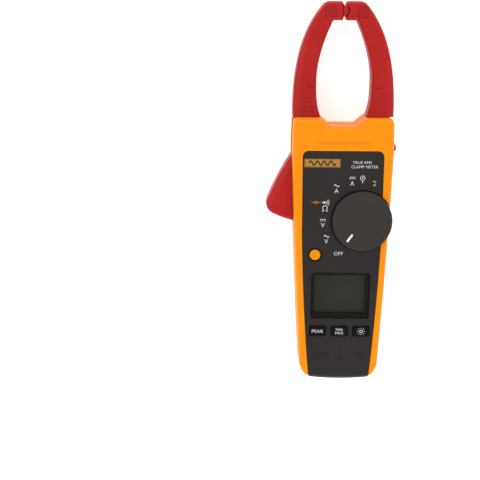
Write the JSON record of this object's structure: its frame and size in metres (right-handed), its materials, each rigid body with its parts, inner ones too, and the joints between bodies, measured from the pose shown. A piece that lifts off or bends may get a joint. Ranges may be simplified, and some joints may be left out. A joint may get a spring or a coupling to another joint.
{
  "type": "clamp meter",
  "caption": "Hand-held electrical clamp meter with opening jaws, trigger, rotary function dial, display, keys and test-lead sockets.",
  "frame": {"origin": "on the flat rear face, on the meter's centre line, 100 mm from the jack end", "axes": "+Z out of the front face towards the user, +Y towards the jaw tips, +X to the user's right, the dial's side"},
  "size_m": [0.0835, 0.246, 0.0396],
  "materials": {
    "orange_shell": "moulded, fine spark texture",
    "orange_button": "moulded silicone-smooth",
    "red_jaw": "moulded, satin, fine grain",
    "dark_panel": "moulded, fine matt grain",
    "dark_knob": "moulded, satin",
    "white_mark": "inlaid print",
    "amber_badge": "metallic foil label",
    "clear_window": "clear, slightly glossy",
    "lcd": "switched-off liquid crystal",
    "black_plastic": "moulded, matt",
    "key_rubber": "silicone keys",
    "board": "solder mask",
    "copper": "enamelled winding wire",
    "brass": "bright",
    "steel": "zinc plated",
    "core_iron": "laminated, varnished",
    "cell_can": "printed sleeve, satin"
  },
  "bodies": {
    "case": {"front_case": "orange_shell", "rear_case": "orange_shell", "battery_door": "black_plastic", "door_screw": "steel", "case_screw_1": "steel", "case_screw_2": "steel", "case_screw_3": "steel", "case_screw_4": "steel", "case_screw_5": "steel", "front_panel": "dark_panel", "badge_plate": "amber_badge", "display_window": "clear_window", "lcd_glass": "lcd", "lcd_backlight": "white_mark", "lcd_holder": "black_plastic", "keypad": "key_rubber", "dial_seal": "key_rubber", "detent_spring": "steel", "main_board": "board", "buzzer": "black_plastic", "cell_left": "cell_can", "cell_right": "cell_can", "battery_holder": "black_plastic", "contact_cone_left": "steel", "contact_cone_right": "steel", "contact_plate_left": "steel", "contact_plate_right": "steel", "jack_block": "black_plastic", "jack_tube_com": "brass", "jack_tube_volt": "brass", "probe_socket": "black_plastic", "pivot_pin": "steel", "right_jaw_front": "red_jaw", "right_jaw_rear": "red_jaw", "right_core": "core_iron", "right_coil": "copper", "field_sensor": "black_plastic", "barrier_tab": "red_jaw"},
    "left_jaw": {"left_jaw_front": "red_jaw", "left_jaw_rear": "red_jaw", "left_core": "core_iron", "left_coil": "copper", "jaw_bush": "brass", "jaw_spring": "steel"},
    "dial": {"dial_knob": "dark_knob", "dial_marker": "white_mark", "dial_rotor": "white_mark", "dial_wiper": "copper"},
    "shift": {"shift_button": "orange_button"},
    "peak_key": {"key_peak": "key_rubber"},
    "min_max_key": {"key_min_max": "key_rubber"},
    "light_key": {"key_light": "key_rubber"},
    "hold": {"hold_button": "key_rubber"}
  },
  "joints": [
    {"name": "jaw_swing", "type": "hinge", "parent": "case", "child": "left_jaw", "pos_m": [-0.022, 0.053, 0.018], "axis": [0, 0, 1], "range_deg": [0, 21], "stiffness_Nm_per_rad": 0.6, "springref_deg": -20.05},
    {"name": "dial_turn", "type": "hinge", "parent": "case", "child": "dial", "pos_m": [0.0129, 0.007, 0.035], "axis": [0, 0, 1], "range_deg": [-160, 0]},
    {"name": "shift_press", "type": "slide", "parent": "case", "child": "shift", "axis": [0, 0, -1], "range_m": [0, 0.0008], "stiffness_N_per_m": 500, "springref_m": -0.0008},
    {"name": "peak_press", "type": "slide", "parent": "case", "child": "peak_key", "axis": [0, 0, -1], "range_m": [0, 0.0008], "stiffness_N_per_m": 500, "springref_m": -0.0008},
    {"name": "min_max_press", "type": "slide", "parent": "case", "child": "min_max_key", "axis": [0, 0, -1], "range_m": [0, 0.0008], "stiffness_N_per_m": 500, "springref_m": -0.0008},
    {"name": "light_press", "type": "slide", "parent": "case", "child": "light_key", "axis": [0, 0, -1], "range_m": [0, 0.0008], "stiffness_N_per_m": 500, "springref_m": -0.0008},
    {"name": "hold_press", "type": "slide", "parent": "case", "child": "hold", "axis": [-1, 0, 0], "range_m": [0, 0.0009], "stiffness_N_per_m": 500, "springref_m": -0.0008}
  ]
}
